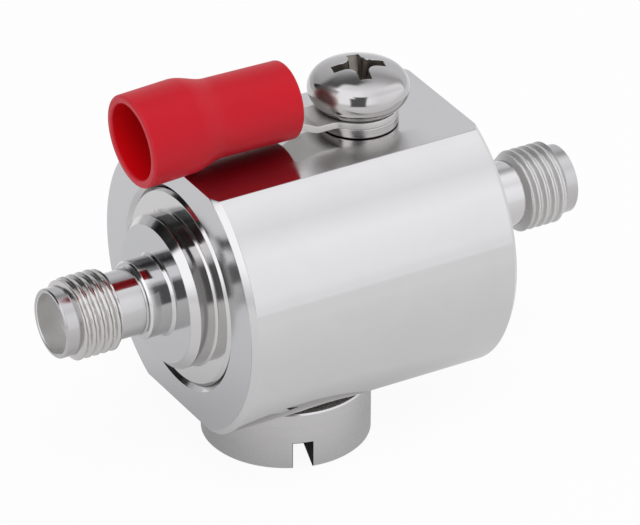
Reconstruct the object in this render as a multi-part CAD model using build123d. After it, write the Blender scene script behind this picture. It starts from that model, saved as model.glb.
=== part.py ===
from build123d import *
import math
import os

# Inline coaxial lightning arrestor: a round bar with two flats, a female screw connector at each
# end, a gas discharge tube under a slotted cap below, and an earthing lug under a screw on top.
# Millimetres. +X runs along the coaxial line, +Z is up, z = 0 is the base of the cap.

# Bar
bar_diameter = 23.1
bar_length = 22.98
bar_chamfer = 0.44
across_flats = 20.12

# Coaxial line inside the bar
line_bore_radius = 3.5
conductor_radius = 1.52
contact_flat_depth = 0.15

# Screw connector, the same at both ends, from the bar outwards
flange_radius = 7.72
flange_thickness = 1.98
flange_recess = 0.02
flange_edge = 0.24
spigot_radius = 4.2
spigot_length = 2.0
boss_radius = 5.97
boss_height = 1.96
boss_chamfer = 0.58
boss_foot = 0.15
collar_radius = 3.05
collar_length = 2.01
neck_radius = 2.57
neck_length = 2.15
thread_radius = 3.175
thread_length = 3.6
pilot_radius = 2.69
pilot_length = 1.1
socket_radius = 2.33
socket_depth = 1.9

# Dielectric and centre contact of each connector
dielectric_radius = 2.05
dielectric_heel_radius = 2.7
dielectric_heel_length = 1.5
contact_radius = 0.635
contact_bore_radius = 0.47
contact_bore_depth = 3.0
contact_slit_width = 0.2
contact_slit_length = 2.2
contact_collar_radius = 0.95
contact_collar_length = 0.8
contact_tail_radius = 0.5
contact_tail_length = 2.4
tail_hole_spare = 0.2

# Gas discharge tube, standing upright under the line
cap_offset = -2.15
tube_radius = 2.75
tube_height = 6.0
electrode_thickness = 0.55
electrode_stub_radius = 1.2
ceramic_wall = 0.85
discharge_gap = 0.7

# Slotted cap that holds the tube, with its spring and seal
cap_radius = 6.52
cap_height = 4.82
cap_edge = 0.15
cap_slot_width = 1.55
cap_slot_depth = 2.25
cap_slot_angle = 71.7
cap_thread_radius = 5.0
cap_cup_depth = 1.4
cap_neck_end_gap = 0.2
spring_height = 1.8
spring_coil_radius = 1.9
spring_wire_radius = 0.175
spring_turns = 2.5
seal_section = 0.9
seal_centre_radius = 4.85

# Ground screw, lock washer and ring terminal
screw_offset = 4.1
screw_thread_radius = 2.0
screw_length = 6.0
screw_tip_chamfer = 0.35
screw_hole_spare = 0.4
head_radius = 3.885
head_seat_radius = 3.0
head_rim_radius = 3.52
head_rim_height = 0.6
head_side_height = 1.51
head_shoulder_radius = 1.43
head_dome_radius = 7.0
recess_arm_length = 2.0
recess_arm_width = 0.95
recess_foot_length = 0.95
recess_foot_width = 0.7
recess_core_radius = 1.1
recess_depth = 1.75
recess_angle = -15.0
washer_radius = 3.05
washer_thickness = 0.81
washer_split_width = 0.35
washer_split_slant = 25.0
lug_ring_radius = 3.05
lug_thickness = 0.55
tongue_half_width = 1.6
tongue_kink = 4.45
tongue_rise = 26.0
tongue_bend_radius = 0.6

# Crimp barrel and soft sleeve of the ring terminal, measured from the sleeve's rear end
sleeve_rear_offset = 6.38
sleeve_axis_height = 3.49
sleeve_tilt = 1.05
sleeve_length = 13.1
sleeve_rear_radius = 3.05
sleeve_bell_radius = 3.65
sleeve_rear_edge = 0.2
sleeve_lip = 0.25
sleeve_taper_start = 6.2
sleeve_taper_end = 9.0
sleeve_mouth_radius = 3.0
sleeve_mouth_depth = 4.4
sleeve_funnel_length = 1.7
sleeve_bend = 9.6
sleeve_droop = 4.5
barrel_radius = 2.4
barrel_wall = 0.65
barrel_setback = 1.0
barrel_length = 5.6
barrel_end_wall = 0.8

# Clearances
slip = 0.02
thread_play = 0.05
cup_play = 0.08
screw_play = 0.15
chamber_play = 0.45
flange_play = 0.38
seal_play = 0.03

# Levels and places worked out from the sizes above
flat_height = across_flats / 2
line_height = flat_height + cap_height
bar_end = bar_length / 2
flange_face = bar_end - flange_recess
flange_back = flange_face - flange_thickness
spigot_end = flange_back - spigot_length
boss_face = flange_face + boss_height
collar_end = boss_face + collar_length
neck_end = collar_end + neck_length
thread_end = neck_end + thread_length
mouth = thread_end + pilot_length
reference_plane = mouth - socket_depth

flat_top = line_height + flat_height
flat_bottom = line_height - flat_height
tube_top = line_height - conductor_radius + contact_flat_depth
tube_bottom = tube_top - tube_height
cup_floor = tube_bottom - spring_height
cap_neck_top = tube_bottom + cap_cup_depth
seal_groove_height = seal_section + 2 * seal_play
seal_groove_radius = seal_centre_radius - seal_section / 2 - seal_play
seal_seat_radius = seal_centre_radius + seal_section / 2 + seal_play

head_dome_reach = head_dome_radius - head_shoulder_radius
head_dome_rise = math.sqrt(head_dome_reach ** 2 - (head_radius - head_shoulder_radius) ** 2)
head_dome_centre = head_side_height - head_dome_rise
head_height = head_dome_centre + head_dome_radius
washer_top = flat_top + washer_thickness
screw_seat = washer_top + lug_thickness
screw_tip = screw_seat - screw_length
sleeve_axis_level = flat_top + sleeve_axis_height
sleeve_rear_x = screw_offset - sleeve_rear_offset


def turned_about_x(points):
    """Solid turned about the X axis from a closed outline of (x, radius) points."""
    outline = Plane.XZ * make_face(Polyline(*points, close=True))
    return revolve(outline, axis=Axis.X)


def turned_about_z(points):
    """Solid turned about the Z axis from a closed outline of (radius, z) points."""
    outline = Plane.XZ * make_face(Polyline(*points, close=True))
    return revolve(outline, axis=Axis.Z)


def rod_x(radius, start, end):
    """Round rod along X between two places."""
    return Pos((start + end) / 2, 0, 0) * Rot(0, 90, 0) * Cylinder(radius, end - start)


def rod_z(radius, low, high):
    """Round rod along Z between two levels."""
    return Pos(0, 0, (low + high) / 2) * Cylinder(radius, high - low)


def on_line(shape, turned_round=False):
    """Lift a shape made about the X axis to the coaxial line, turned round for the left end."""
    turn = 180 if turned_round else 0
    return Pos(0, 0, line_height) * Rot(0, 0, turn) * shape


def arrestor_body():
    """Chamfered round bar with two milled flats, bored for the line, the cap and the screw."""
    half = bar_diameter / 2
    bar = turned_about_x([
        (-bar_end, 0), (-bar_end, half - bar_chamfer), (-bar_end + bar_chamfer, half),
        (bar_end - bar_chamfer, half), (bar_end, half - bar_chamfer), (bar_end, 0),
    ])
    bar = bar & Box(bar_length, bar_diameter, across_flats)
    bar -= rod_x(line_bore_radius, -spigot_end, spigot_end)
    for side in (-1, 1):
        counterbore = rod_x(flange_radius + flange_play, flange_back, bar_end)
        spigot_seat = rod_x(spigot_radius + slip, spigot_end, flange_back)
        bar -= Rot(0, 0, 90 - 90 * side) * (counterbore + spigot_seat)
    return Pos(0, 0, line_height) * bar - cap_hole() - screw_hole()


def cap_hole():
    """Stepped hole from below: the seal's seat, the cap's thread and the tube's chamber."""
    thread_top = cap_neck_top + cap_neck_end_gap
    hole = rod_z(seal_seat_radius, flat_bottom, flat_bottom + seal_groove_height)
    hole += rod_z(cap_thread_radius + thread_play, flat_bottom, thread_top)
    hole += rod_z(tube_radius + chamber_play, thread_top, line_height)
    return Pos(cap_offset, 0, 0) * hole


def screw_hole():
    """Blind hole for the ground screw in the upper flat."""
    depth_level = screw_tip - screw_hole_spare
    return Pos(screw_offset, 0, 0) * rod_z(screw_thread_radius + thread_play, depth_level, flat_top)


def connector_shell():
    """Turned connector: spigot, flange, boss, collar, neck, thread land, pilot and socket."""
    shell = turned_about_x([
        (spigot_end, 0), (spigot_end, spigot_radius), (flange_back, spigot_radius),
        (flange_back, flange_radius), (flange_face - flange_edge, flange_radius),
        (flange_face, flange_radius - flange_edge), (flange_face, boss_radius + boss_foot),
        (flange_face + boss_foot, boss_radius), (boss_face - boss_chamfer, boss_radius),
        (boss_face, boss_radius - boss_chamfer),
        (boss_face, collar_radius), (collar_end, collar_radius), (collar_end, neck_radius),
        (neck_end, neck_radius), (neck_end, thread_radius), (thread_end, thread_radius),
        (thread_end, pilot_radius), (mouth, pilot_radius), (mouth, 0),
    ])
    heel_end = spigot_end + dielectric_heel_length
    shell -= rod_x(dielectric_heel_radius + slip, spigot_end, heel_end)
    shell -= rod_x(dielectric_radius + slip, heel_end, reference_plane)
    return shell - rod_x(socket_radius, reference_plane, mouth)


def dielectric():
    """Stepped insulator: its heel seats in the shell, and its front is flush with the socket floor."""
    heel_end = spigot_end + dielectric_heel_length
    collar_seat = spigot_end + contact_collar_length
    bead = rod_x(dielectric_heel_radius, spigot_end, heel_end)
    bead += rod_x(dielectric_radius, heel_end, reference_plane)
    bead -= rod_x(contact_collar_radius + slip, spigot_end, collar_seat)
    return bead - rod_x(contact_radius + slip, collar_seat, reference_plane)


def socket_contact():
    """Centre contact: slit socket in front, locating collar and a tail for the conductor."""
    collar_seat = spigot_end + contact_collar_length
    contact = rod_x(contact_radius, collar_seat, reference_plane)
    contact += rod_x(contact_collar_radius, spigot_end, collar_seat)
    contact += rod_x(contact_tail_radius, spigot_end - contact_tail_length, spigot_end)
    contact -= rod_x(contact_bore_radius, reference_plane - contact_bore_depth, reference_plane)
    slit = Box(contact_slit_length, 2 * contact_radius, contact_slit_width)
    slit = Pos(reference_plane - contact_slit_length / 2, 0, 0) * slit
    return contact - slit - Rot(90, 0, 0) * slit


def centre_conductor():
    """Rod between the two contacts, bored for their tails, with a flat where the tube bears."""
    rod = rod_x(conductor_radius, -spigot_end, spigot_end)
    for side in (-1, 1):
        hole = rod_x(contact_tail_radius + slip, spigot_end - contact_tail_length - tail_hole_spare,
                     spigot_end)
        rod -= Rot(0, 0, 90 - 90 * side) * hole
    flat_cut = Box(2 * (tube_radius + chamber_play), 2 * conductor_radius, contact_flat_depth)
    return rod - Pos(cap_offset, 0, contact_flat_depth / 2 - conductor_radius) * flat_cut


def tube_electrode():
    """Metal end cap of the gas tube with its inward stub, rim at z = 0 and stub pointing up."""
    stub_length = (tube_height - discharge_gap) / 2
    return rod_z(tube_radius, 0, electrode_thickness) + rod_z(electrode_stub_radius, 0, stub_length)


def upper_electrode():
    """Electrode that bears on the conductor's flat."""
    return Pos(cap_offset, 0, tube_top) * Rot(180, 0, 0) * tube_electrode()


def lower_electrode():
    """Electrode that stands on the contact spring."""
    return Pos(cap_offset, 0, tube_bottom) * tube_electrode()


def tube_ceramic():
    """Insulating ring between the electrodes."""
    low = tube_bottom + electrode_thickness
    high = tube_top - electrode_thickness
    ring = rod_z(tube_radius, low, high) - rod_z(tube_radius - ceramic_wall, low, high)
    return Pos(cap_offset, 0, 0) * ring


def contact_spring():
    """Open coil between the floor of the cap's cup and the tube."""
    rise = spring_height - 2 * spring_wire_radius - 2 * slip
    coil = Helix(rise / spring_turns, rise, spring_coil_radius)
    wire = Plane(coil @ 0, z_dir=coil % 0) * Circle(spring_wire_radius)
    spring = sweep(wire, path=coil, is_frenet=True)
    return Pos(cap_offset, 0, cup_floor + spring_wire_radius + slip) * spring


def gas_tube_cap():
    """Slotted cap: broad head, relief for the seal, threaded neck and a cup for the tube."""
    cap = turned_about_z([
        (0, 0), (cap_radius - cap_edge, 0), (cap_radius, cap_edge),
        (cap_radius, flat_bottom - cap_edge), (cap_radius - cap_edge, flat_bottom),
        (seal_groove_radius, flat_bottom), (seal_groove_radius, flat_bottom + seal_groove_height),
        (cap_thread_radius, flat_bottom + seal_groove_height), (cap_thread_radius, cap_neck_top),
        (0, cap_neck_top),
    ])
    cap -= rod_z(tube_radius + cup_play, cup_floor, cap_neck_top)
    slot = Pos(0, 0, cap_slot_depth / 2) * Box(2 * cap_radius, cap_slot_width, cap_slot_depth)
    return Pos(cap_offset, 0, 0) * (cap - Rot(0, 0, cap_slot_angle) * slot)


def cap_seal():
    """Soft ring between the cap's relief and its seat in the bar."""
    level = flat_bottom + seal_groove_height / 2
    return Pos(cap_offset, 0, level) * Torus(seal_centre_radius, seal_section / 2)


def screw_head():
    """Pan head with its seat at z = 0: undercut rim, round side and shoulder, low dome."""
    widest = (head_radius, head_side_height)
    spread = head_dome_radius / head_dome_reach
    crown = (spread * (head_radius - head_shoulder_radius), head_dome_centre + spread * head_dome_rise)
    seat = Line((0, 0), (head_seat_radius, 0))
    bevel = Line(seat @ 1, (head_rim_radius, head_rim_height))
    side = TangentArc(widest, bevel @ 1, tangent=(0, -1))
    shoulder = TangentArc(widest, crown, tangent=(0, 1))
    dome = RadiusArc(crown, (0, head_height), -head_dome_radius)
    middle = Line((0, head_height), (0, 0))
    outline = Plane.XZ * make_face([seat, bevel, side, shoulder, dome, middle])
    return revolve(outline, axis=Axis.Z)


def cross_recess():
    """Tapered cross with a conical core, cut down from the top of the screw's head."""
    floor = head_height - recess_depth
    recess = Pos(0, 0, head_height - recess_depth / 2) * Cone(
        recess_core_radius / 2, recess_core_radius, recess_depth)
    for turn in (0, 90):
        foot = Pos(0, 0, floor) * Rectangle(2 * recess_foot_length, recess_foot_width)
        top = Pos(0, 0, head_height) * Rectangle(2 * recess_arm_length, recess_arm_width)
        recess += Rot(0, 0, turn) * loft([foot, top])
    return Rot(0, 0, recess_angle) * recess


def ground_screw():
    """Pan head screw through the lug and the washer into the bar."""
    shank = turned_about_z([
        (0, -screw_length), (screw_thread_radius - screw_tip_chamfer, -screw_length),
        (screw_thread_radius, screw_tip_chamfer - screw_length), (screw_thread_radius, 0), (0, 0),
    ])
    return Pos(screw_offset, 0, screw_seat) * (shank + (screw_head() - cross_recess()))


def lock_washer():
    """Flattened split spring washer, its slanted split on the far side."""
    hole_radius = screw_thread_radius + screw_play
    ring = rod_z(washer_radius, 0, washer_thickness) - rod_z(hole_radius, 0, washer_thickness)
    cut = Box(washer_split_width, washer_radius, 3 * washer_thickness)
    cut = Rot(0, washer_split_slant, 0) * cut
    ring -= Pos(0, washer_radius, washer_thickness / 2) * cut
    return Pos(screw_offset, 0, flat_top) * ring


def sleeve_place():
    """Place of the crimp barrel's axis at the sleeve's rear end; it runs towards -X."""
    return Pos(sleeve_rear_x, 0, sleeve_axis_level) * Rot(0, sleeve_tilt, 0)


def lug_tongue():
    """Sheet ring with a tongue that rises into the sleeve, cut from one bent strip."""
    slope = math.tan(math.radians(tongue_rise))
    drop = lug_thickness / math.cos(math.radians(tongue_rise))
    reach = sleeve_rear_offset + barrel_setback + barrel_end_wall / 2
    rise = (reach - tongue_kink) * slope
    upper = FilletPolyline(
        (lug_ring_radius, lug_thickness), (-tongue_kink, lug_thickness), (-reach, lug_thickness + rise),
        radius=tongue_bend_radius)
    lower = FilletPolyline(
        (-reach, lug_thickness + rise - drop), (-tongue_kink - (drop - lug_thickness) / slope, 0),
        (lug_ring_radius, 0), radius=tongue_bend_radius + lug_thickness)
    strip = Plane.XZ * make_face([upper, Line(upper @ 1, lower @ 0), lower, Line(lower @ 1, upper @ 0)])
    strip = extrude(strip, amount=lug_ring_radius, both=True)
    plan = Circle(lug_ring_radius) + Pos(-reach / 2, 0) * Rectangle(reach, 2 * tongue_half_width)
    plan -= Circle(screw_thread_radius + screw_play)
    return strip & extrude(plan, amount=rise + lug_thickness)


def ring_terminal():
    """Ring, tongue and crimp barrel of the lug, one formed piece."""
    barrel_end = barrel_setback + barrel_length
    barrel = rod_x(barrel_radius, -barrel_end, -barrel_setback)
    barrel -= rod_x(barrel_radius - barrel_wall, -barrel_end, -barrel_setback - barrel_end_wall)
    return Pos(screw_offset, 0, washer_top) * lug_tongue() + sleeve_place() * barrel


def terminal_sleeve():
    """Soft sleeve that grips the barrel and opens in a drooping bell for the wire's insulation."""
    grip = barrel_radius + slip
    bell_floor = -sleeve_length + sleeve_mouth_depth
    lip_start = -sleeve_length + sleeve_lip
    middle = -(sleeve_taper_start + sleeve_taper_end) / 2
    rear = (-sleeve_rear_edge, sleeve_rear_radius)
    taper = Bezier(
        (-sleeve_taper_start, sleeve_rear_radius), (middle, sleeve_rear_radius),
        (middle, sleeve_bell_radius), (-sleeve_taper_end, sleeve_bell_radius))
    lip_top = (-sleeve_length, sleeve_bell_radius - sleeve_lip)
    outline = [
        RadiusArc((0, sleeve_rear_radius - sleeve_rear_edge), rear, -sleeve_rear_edge),
        Line(rear, taper @ 0), taper, Line(taper @ 1, (lip_start, sleeve_bell_radius)),
        RadiusArc((lip_start, sleeve_bell_radius), lip_top, -sleeve_lip),
        Polyline(lip_top, (-sleeve_length, sleeve_mouth_radius), (bell_floor, sleeve_mouth_radius),
                 (bell_floor + sleeve_funnel_length, grip), (0, grip),
                 (0, sleeve_rear_radius - sleeve_rear_edge)),
    ]
    straight = revolve(Plane.XZ * make_face(outline), axis=Axis.X)
    drooping = Pos(-sleeve_bend, 0, 0) * Rot(0, -sleeve_droop, 0) * Pos(sleeve_bend, 0, 0) * straight
    front = Pos(-sleeve_length, 0, 0) * Box(2 * sleeve_length, sleeve_length, sleeve_length)
    front = Pos(-sleeve_bend, 0, 0) * Rot(0, -sleeve_droop / 2, 0) * front
    return sleeve_place() * ((straight - front) + (drooping & front))


def build_nodes():
    """Every separate piece by its node name."""
    nodes = {
        "body": arrestor_body(),
        "centre_conductor": on_line(centre_conductor()),
        "gas_tube_ceramic": tube_ceramic(),
        "gas_tube_upper_electrode": upper_electrode(),
        "gas_tube_lower_electrode": lower_electrode(),
        "contact_spring": contact_spring(),
        "gas_tube_cap": gas_tube_cap(),
        "cap_seal": cap_seal(),
        "ground_screw": ground_screw(),
        "lock_washer": lock_washer(),
        "ring_terminal": ring_terminal(),
        "terminal_sleeve": terminal_sleeve(),
    }
    for end, turned_round in (("right", False), ("left", True)):
        nodes[end + "_connector_shell"] = on_line(connector_shell(), turned_round)
        nodes[end + "_dielectric"] = on_line(dielectric(), turned_round)
        nodes[end + "_socket_contact"] = on_line(socket_contact(), turned_round)
    return nodes


os.makedirs("parts", exist_ok=True)
for node_name, node_shape in build_nodes().items():
    export_step(node_shape, "parts/" + node_name + ".step")
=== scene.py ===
import math

import bmesh
import bpy
import numpy as np
from mathutils import Matrix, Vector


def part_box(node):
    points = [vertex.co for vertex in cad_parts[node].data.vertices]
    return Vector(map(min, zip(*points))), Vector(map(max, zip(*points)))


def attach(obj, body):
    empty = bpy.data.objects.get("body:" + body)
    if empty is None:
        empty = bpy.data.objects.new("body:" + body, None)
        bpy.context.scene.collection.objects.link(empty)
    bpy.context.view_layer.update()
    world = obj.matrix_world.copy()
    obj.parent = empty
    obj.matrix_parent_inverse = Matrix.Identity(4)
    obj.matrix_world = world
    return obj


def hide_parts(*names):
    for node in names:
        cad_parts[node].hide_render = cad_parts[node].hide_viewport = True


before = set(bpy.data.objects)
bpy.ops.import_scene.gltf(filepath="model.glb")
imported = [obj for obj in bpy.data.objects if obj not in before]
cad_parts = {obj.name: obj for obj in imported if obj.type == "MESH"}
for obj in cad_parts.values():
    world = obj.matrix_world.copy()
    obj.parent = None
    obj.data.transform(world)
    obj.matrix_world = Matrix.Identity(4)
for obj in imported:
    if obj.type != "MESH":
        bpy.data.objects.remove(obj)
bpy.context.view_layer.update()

# Inline coaxial lightning arrestor. Sizes are in millimetres, and MM turns them into metres.
# The coaxial line runs along X, +Z is up and z = 0 is the base of the gas tube's cap.
MM = 0.001


def extent(node):
    """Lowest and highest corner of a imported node, in millimetres."""
    return np.array(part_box(node)) / MM


# Bar, from its own box
bar_low, bar_high = extent("body")
BAR_END, BAR_RADIUS, FLAT_TOP = bar_high
FLAT_BOTTOM = bar_low[2]
FLAT_HEIGHT = (FLAT_TOP - FLAT_BOTTOM) / 2
LINE_HEIGHT = (FLAT_TOP + FLAT_BOTTOM) / 2
BAR_CHAMFER = 0.44
BAR_EDGE = 0.05
FLAT_EDGE = 0.07
FLAT_BLEND = 0.006
LINE_BORE_RADIUS = 3.5
SPIGOT_SEAT_RADIUS = 4.22
COUNTERBORE_RADIUS = 7.74
COUNTERBORE_CHAMFER = 0.38
CHAMBER_RADIUS = 3.2

# Screw connector, outwards along X from the middle of the bar
shell_low, shell_high = extent("right_connector_shell")
SPIGOT_END = shell_low[0]
MOUTH, FLANGE_RADIUS = shell_high[:2]
SPIGOT_RADIUS = 4.2
FLANGE_BACK = SPIGOT_END + 2.0
FLANGE_FACE = FLANGE_BACK + 1.98
FLANGE_CHAMFER = 0.24
BOSS_RADIUS = 5.97
BOSS_FACE = FLANGE_FACE + 1.96
BOSS_CHAMFER = 0.58
BOSS_FOOT = 0.15
COLLAR_RADIUS = 3.05
COLLAR_END = BOSS_FACE + 2.01
COLLAR_CHAMFER = 0.14
COVE = 0.2
NECK_RADIUS = 2.57
NECK_COVE = COVE / 2
NECK_END = COLLAR_END + 2.15
THREAD_RADIUS = 3.175
THREAD_DEPTH = 0.27
THREAD_PITCH = 25.4 / 36
THREAD_END = NECK_END + 3.6
THREAD_START = 0.28
THREAD_RISE = 2.4
THREAD_FALL = 4.0
PILOT_RADIUS = 2.69
PILOT_CHAMFER = 0.09
SOCKET_RADIUS = 2.33
SOCKET_CHAMFER = 0.07
REFERENCE_PLANE = MOUTH - 1.9
BEAD_BORE_RADIUS = 2.07
HEEL_BORE_RADIUS = 2.72
HEEL_END = SPIGOT_END + 1.5

# Cap of the gas tube
cap_low, cap_high = extent("gas_tube_cap")
CAP_X = (cap_low[0] + cap_high[0]) / 2
CAP_RADIUS = (cap_high[0] - cap_low[0]) / 2
CAP_NECK_TOP = cap_high[2]
CAP_EDGE = 0.15
CAP_RIM_INSET = 0.06
CAP_SLOT_WIDTH = 1.55
CAP_SLOT_DEPTH = 2.25
CAP_SLOT_TURN = math.radians(71.7)
CAP_GROOVE_RADIUS = 4.37
CAP_GROOVE_TOP = FLAT_BOTTOM + 0.96
CAP_THREAD_RADIUS = 5.0
CAP_THREAD_PITCH = 1.0
CAP_THREAD_DEPTH = 0.4
CAP_THREAD_RISE = 4.0
CAP_NECK_CHAMFER = 0.5
CUP_RADIUS = 2.83
CUP_FLOOR = FLAT_BOTTOM + 0.89
CUP_CHAMFER = 0.1
SEAL_SEAT_RADIUS = 5.33
CAP_HOLE_RADIUS = 5.05
CAP_HOLE_TOP = CAP_NECK_TOP + 0.2

# Ground screw and washer
washer_low, washer_high = extent("lock_washer")
screw_low, screw_high = extent("ground_screw")
SCREW_X = (washer_low[0] + washer_high[0]) / 2
SCREW_TIP = screw_low[2]
SCREW_SEAT = SCREW_TIP + 6.0
HEAD_RADIUS = (screw_high[0] - screw_low[0]) / 2
HEAD_SEAT_RADIUS = 3.0
HEAD_RIM_RADIUS = 3.52
HEAD_RIM_HEIGHT = 0.6
HEAD_SIDE_HEIGHT = 1.51
HEAD_SHOULDER_RADIUS = 1.43
HEAD_DOME_RADIUS = 7.0
HEAD_DOME_REACH = HEAD_DOME_RADIUS - HEAD_SHOULDER_RADIUS
HEAD_DOME_RISE = math.sqrt(HEAD_DOME_REACH ** 2 - (HEAD_RADIUS - HEAD_SHOULDER_RADIUS) ** 2)
HEAD_TOP = SCREW_SEAT + HEAD_SIDE_HEIGHT - HEAD_DOME_RISE + HEAD_DOME_RADIUS
SCREW_THREAD_RADIUS = 2.0
SCREW_THREAD_PITCH = 0.7
SCREW_THREAD_DEPTH = 0.36
SCREW_TIP_CHAMFER = 0.35
SCREW_LEAD = 0.1
SCREW_LEAD_INSET = 0.25
SCREW_ROOT_INSET = 0.3
SCREW_THREAD_RISE = 0.9
SCREW_SHANK_INSET = 0.05
SCREW_SHANK = 0.35
SCREW_RUNOUT = 0.3
SCREW_HOLE_RADIUS = 2.05
SCREW_HOLE_FLOOR = SCREW_TIP - 0.4
RECESS_MOUTH = (2.0, 0.475, 0.75)
RECESS_FOOT = (0.95, 0.35, 0.3)
RECESS_LIP = 0.07
RECESS_DEPTH = 1.75
RECESS_CONE = 0.3
RECESS_TURN = math.radians(-15.0)
WASHER_TOP = washer_high[2]
WASHER_RADIUS = (washer_high[0] - washer_low[0]) / 2
WASHER_HOLE_RADIUS = 2.15
WASHER_EDGE = 0.07
WASHER_FOOT_EDGE = 0.14
WASHER_SPLIT = 0.35
WASHER_SLANT = math.radians(25.0)

# Ring terminal and sleeve
LUG_RADIUS = 3.05
LUG_THICKNESS = 0.55
LUG_EDGE = 0.09
LUG_BLEND = 0.3
TONGUE_HALF_WIDTH = 1.6
TONGUE_KINK = 4.45
TONGUE_RISE = math.radians(26.0)
TONGUE_BEND_RADIUS = 0.6 + LUG_THICKNESS / 2
TONGUE_BEND_START = TONGUE_KINK - TONGUE_BEND_RADIUS * math.tan(TONGUE_RISE / 2)
TONGUE_REACH = 7.78
TONGUE_BLEND = 0.05
TONGUE_FAR = 40.0
BARREL_RADIUS = 2.4
BARREL_BORE = 1.75
BARREL_START = 1.0
BARREL_END = BARREL_START + 5.6
BARREL_FLOOR = BARREL_START + 0.8
BARREL_REAR_EDGE = 0.15
BARREL_EDGE = 0.1
SLEEVE_REAR_X = SCREW_X - 6.38
SLEEVE_AXIS_LEVEL = FLAT_TOP + 3.49
SLEEVE_TILT = math.radians(1.05)
SLEEVE_LENGTH = 13.1
SLEEVE_REAR_RADIUS = 3.05
SLEEVE_BELL_RADIUS = 3.65
SLEEVE_REAR_EDGE = 0.2
SLEEVE_LIP = 0.22
SLEEVE_MOUTH_EDGE = 0.16
SLEEVE_INNER_EDGE = 0.6
SLEEVE_TAPER = (6.2, 9.0)
SLEEVE_MOUTH_RADIUS = 3.0
SLEEVE_MOUTH_FLOOR = SLEEVE_LENGTH - 4.4
SLEEVE_FUNNEL = 1.7
SLEEVE_GRIP_RADIUS = 2.42
SLEEVE_BEND = 9.6
SLEEVE_BEND_HALF = 0.5
SLEEVE_DROOP = math.radians(4.5)
SLEEVE_UNEVEN = 0.0022

# Roundings of turned edges, the thread's wave, and mesh fineness
FINE = 0.03
EVEN = 0.04
SOFT = 0.05
ROOT_SHARE = 0.14
CREST_SHARE = 0.12
THREAD_BLEND = 0.012
ROUND_STEPS = 192
ARC_STEPS = 5
SUPPORT = 0.03
STATIONS_PER_PITCH = 15
WELD = 2e-7
CREASE_ANGLE = math.radians(28)


def rounded(corners, steps=ARC_STEPS, closed=True):
    """Outline through corners of (place, place, radius), each cut by an arc of its radius.

    A corner with sides at the angle 2h is left at a distance radius / tan(h) along each side, and
    the arc's centre lies radius / sin(h) from it on the bisector. A support point stands just
    outside each end of an arc, so that the shading of the straight stretch stays flat.
    """
    p, r = np.split(np.array(corners, float), [2], axis=1)
    back, ahead = [side / np.linalg.norm(side, axis=1, keepdims=True)
                   for side in (np.roll(p, 1, axis=0) - p, np.roll(p, -1, axis=0) - p)]
    cosine = np.clip((back * ahead).sum(axis=1, keepdims=True), -1, 1)
    half = np.arccos(cosine) / 2
    middle = back + ahead
    middle /= np.maximum(np.linalg.norm(middle, axis=1, keepdims=True), 1e-9)
    centre = p + middle * r / np.sin(half)
    start = p + back * r / np.tan(half)
    end = p + ahead * r / np.tan(half)
    sweep = np.maximum(np.pi - 2 * half, 1e-6)[:, None]
    t = np.linspace(0, 1, steps)[None, :, None]
    arc = np.sin((1 - t) * sweep) * (start - centre)[:, None] + np.sin(t * sweep) * (end - centre)[:, None]
    arc = centre[:, None] + arc / np.sin(sweep)
    spare = np.where(r > 0, SUPPORT, 0.0)
    points = np.concatenate([(start + back * spare)[:, None], arc, (end + ahead * spare)[:, None]], axis=1)
    points = points.reshape(-1, 2)
    if not closed:
        points[:steps + 2] = p[0]
        points[-steps - 2:] = p[-1]
    step = np.linalg.norm(np.diff(points, axis=0), axis=1)
    return points[np.concatenate([[True], step > 1e-6])]


def soft_least(a, b, blend):
    """Smooth minimum of a and b: -blend * log(exp(-a / blend) + exp(-b / blend))."""
    return -blend * np.logaddexp(-a / blend, -b / blend)


def smooth_step(share):
    """Share from 0 to 1 that leaves and arrives level: 3u^2 - 2u^3."""
    return 3 * share ** 2 - 2 * share ** 3


def point_grid(x, y, z):
    """Grid of points from three arrays that broadcast together."""
    return np.stack(np.broadcast_arrays(x, y, z), axis=-1)


def stacked(stretches, angles):
    """Two grids, for instance radius and height, of several stretches one after the other.

    A stretch is an outline of two columns, or a pair of arrays by row or by row and angle.
    """
    pairs = [np.hsplit(part, 2) if isinstance(part, np.ndarray) else part for part in stretches]
    return [np.concatenate([np.broadcast_to(pair[k], (len(pair[k]), len(angles))) for pair in pairs])
            for k in (0, 1)]


def mesh_piece(name, grid, wrap_rows=False):
    """A closed surface from a grid of points (rows, columns, xyz) in millimetres.

    Each cell of the grid is one quad. Rows that shrink to a point close as poles, and the faces
    are turned outwards by the sign of the enclosed volume, the sum of v0 . (v1 x v2) / 6.
    """
    rows, columns = grid.shape[:2]
    i = np.arange(rows if wrap_rows else rows - 1)[:, None]
    j = np.arange(columns)
    row, next_row = i * columns, (i + 1) % rows * columns
    following = (j + 1) % columns
    quads = np.stack([row + j, row + following, next_row + following, next_row + j], axis=-1).reshape(-1, 4)
    points = grid.reshape(-1, 3) * MM
    v = points[quads]
    volume = (v[:, 0] * (np.cross(v[:, 1], v[:, 2]) + np.cross(v[:, 2], v[:, 3]))).sum()
    if volume < 0:
        quads = quads[:, ::-1]
    mesh = bpy.data.meshes.new(name)
    mesh.vertices.add(len(points))
    mesh.vertices.foreach_set("co", points.ravel())
    mesh.loops.add(quads.size)
    mesh.loops.foreach_set("vertex_index", quads.ravel().astype(np.int32))
    mesh.polygons.add(len(quads))
    mesh.polygons.foreach_set("loop_start", np.arange(0, quads.size, 4, dtype=np.int32))
    mesh.update(calc_edges=True)
    work = bmesh.new()
    work.from_mesh(mesh)
    bmesh.ops.remove_doubles(work, verts=work.verts, dist=WELD)
    bmesh.ops.dissolve_degenerate(work, edges=work.edges, dist=WELD)
    work.to_mesh(mesh)
    work.free()
    piece = bpy.data.objects.new(name, mesh)
    bpy.context.scene.collection.objects.link(piece)
    smooth_by_angle(piece)
    return piece


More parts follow.
